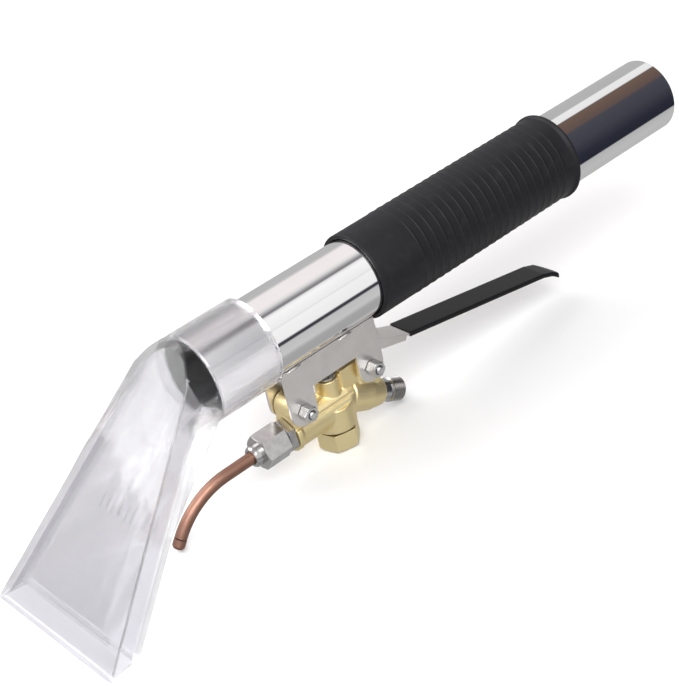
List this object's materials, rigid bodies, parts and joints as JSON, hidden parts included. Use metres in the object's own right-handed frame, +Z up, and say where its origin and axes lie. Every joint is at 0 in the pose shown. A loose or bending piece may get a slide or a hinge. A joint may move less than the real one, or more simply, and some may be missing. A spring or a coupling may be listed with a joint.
{
  "type": "hand-held carpet and upholstery extraction wand",
  "caption": "Suction tube with a flat clear head, rubber grip, squeeze lever and brass spray valve feeding a copper spray tube.",
  "frame": {"origin": "centre of the suction tube's hose end", "axes": "+Y along the tube's axis, out of its hose end; +Z up, away from the valve; the head is at -Y with its mouth facing -Z"},
  "size_m": [0.0888, 0.4007, 0.0975],
  "materials": {
    "tube_steel": "mirror polished stainless",
    "plate_steel": "satin stainless sheet",
    "zinc": "bright zinc plate",
    "nickel": "nickel plate",
    "cast_brass": "blasted",
    "copper": "drawn copper, satin",
    "grip_rubber": "moulded, matte",
    "black_vinyl": "dipped vinyl, satin",
    "seal_rubber": "smooth",
    "clear_plastic": "clear moulded"
  },
  "bodies": {
    "wand": {"suction_tube": "tube_steel", "grip_sleeve": "grip_rubber", "clear_head": "clear_plastic", "bracket_plate_right": "plate_steel", "bracket_plate_left": "plate_steel", "weld_bead_front_right": "plate_steel", "weld_bead_rear_right": "plate_steel", "weld_bead_front_left": "plate_steel", "weld_bead_rear_left": "plate_steel", "front_bolt": "zinc", "front_nut": "zinc", "pivot_bolt": "zinc", "pivot_nut": "zinc", "valve_body": "cast_brass", "stem_guide": "nickel", "stem_seal": "seal_rubber", "valve_spring": "zinc", "valve_cap": "cast_brass", "cap_seal": "seal_rubber", "inlet_nipple": "nickel", "fitting_body": "nickel", "ferrule": "cast_brass", "fitting_nut": "nickel", "copper_tube": "copper", "spray_jet": "copper"},
    "lever": {"lever_arm": "plate_steel", "lever_grip": "black_vinyl"},
    "stem": {"valve_stem": "nickel", "poppet_seal": "seal_rubber", "poppet": "cast_brass"}
  },
  "joints": [
    {"name": "lever_pivot", "type": "hinge", "parent": "wand", "child": "lever", "pos_m": [0, -0.2139, -0.042], "axis": [1, 0, 0], "range_deg": [0, 8]},
    {"name": "stem_slide", "type": "slide", "parent": "wand", "child": "stem", "axis": [0, 0, -1], "range_m": [0, 0.003], "stiffness_N_per_m": 600, "springref_m": -0.005, "deforming": ["valve_spring"]}
  ],
  "couplings": [
    {"joint": "stem_slide", "follows": "lever_pivot", "m_per_rad": 0.0208}
  ]
}
